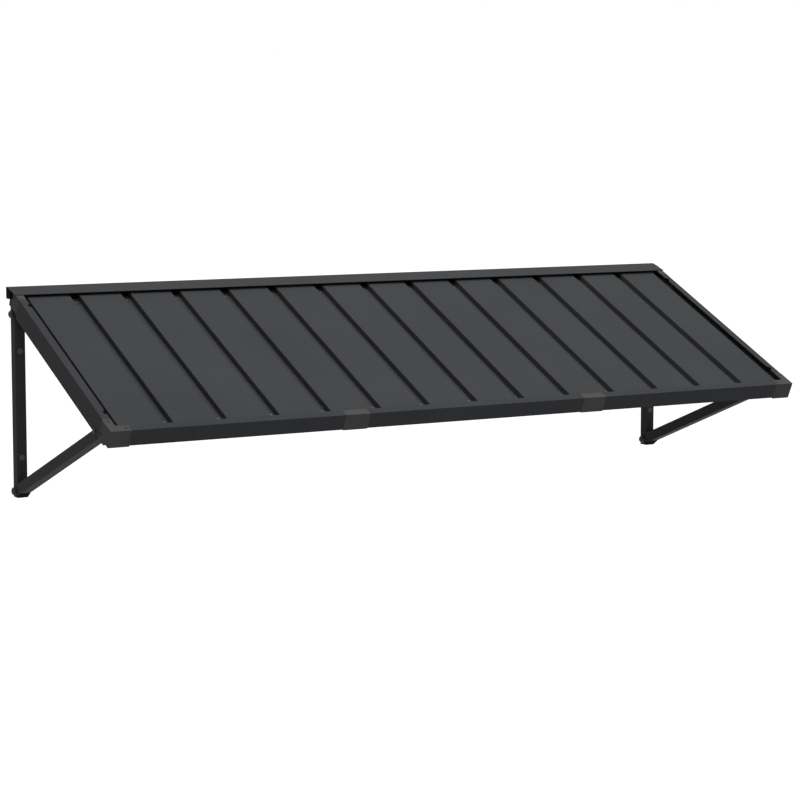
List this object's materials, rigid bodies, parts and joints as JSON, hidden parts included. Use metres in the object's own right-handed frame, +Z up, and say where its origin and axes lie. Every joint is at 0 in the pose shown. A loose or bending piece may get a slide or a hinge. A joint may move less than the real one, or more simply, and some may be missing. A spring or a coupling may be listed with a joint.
{
  "type": "metal door canopy",
  "caption": "Sloping metal canopy over a door: folded roof panels in a dark frame, held to the wall by a rail, posts and struts.",
  "frame": {"origin": "middle of the wall rail's back face, on the wall", "axes": "+X along the wall to the right as seen from outside, +Y into the wall, +Z up"},
  "size_m": [3.0182, 0.9794, 0.8048],
  "materials": {
    "roof_coat": "matt anthracite powder coat on sheet",
    "frame_coat": "matt anthracite powder coat on extrusions",
    "frame_plastic": "moulded, warm dark grey",
    "black_plastic": "moulded, black",
    "fastener_steel": "dark coated steel"
  },
  "bodies": {
    "root": {"wall_rail": "frame_coat", "wall_rail_cap_left": "black_plastic", "wall_rail_cap_right": "black_plastic", "front_rail_left": "frame_coat", "front_rail_middle": "frame_coat", "front_rail_right": "frame_coat", "side_rail_left": "frame_coat", "side_rail_right": "frame_coat", "corner_front_left": "frame_plastic", "corner_front_right": "frame_plastic", "corner_rear_left": "frame_plastic", "corner_rear_right": "frame_plastic", "coupler_left": "frame_plastic", "coupler_right": "frame_plastic", "roof_panel_01": "roof_coat", "roof_panel_02": "roof_coat", "roof_panel_03": "roof_coat", "roof_panel_04": "roof_coat", "roof_panel_05": "roof_coat", "roof_panel_06": "roof_coat", "roof_panel_07": "roof_coat", "roof_panel_08": "roof_coat", "roof_panel_09": "roof_coat", "roof_panel_10": "roof_coat", "roof_panel_11": "roof_coat", "roof_panel_12": "roof_coat", "roof_panel_13": "roof_coat", "roof_panel_14": "roof_coat", "post_left": "frame_coat", "post_right": "frame_coat", "strut_left": "frame_coat", "strut_right": "frame_coat", "strut_foot_left": "black_plastic", "strut_foot_right": "black_plastic", "foot_bolt_left": "fastener_steel", "foot_bolt_right": "fastener_steel", "foot_washer_left": "fastener_steel", "foot_washer_right": "fastener_steel", "foot_nut_left": "fastener_steel", "foot_nut_right": "fastener_steel", "post_bolt_left": "fastener_steel", "post_bolt_right": "fastener_steel", "post_nut_left": "fastener_steel", "post_nut_right": "fastener_steel", "rail_bolt_left": "fastener_steel", "rail_bolt_right": "fastener_steel", "rail_washer_left": "fastener_steel", "rail_washer_right": "fastener_steel", "rail_nut_left": "fastener_steel", "rail_nut_right": "fastener_steel", "corner_screw_side_left": "fastener_steel", "corner_screw_side_right": "fastener_steel", "corner_screw_front_left": "fastener_steel", "corner_screw_front_right": "fastener_steel", "post_plug_upper_left": "frame_plastic", "post_plug_upper_right": "frame_plastic", "post_plug_lower_left": "frame_plastic", "post_plug_lower_right": "frame_plastic"}
  },
  "joints": []
}
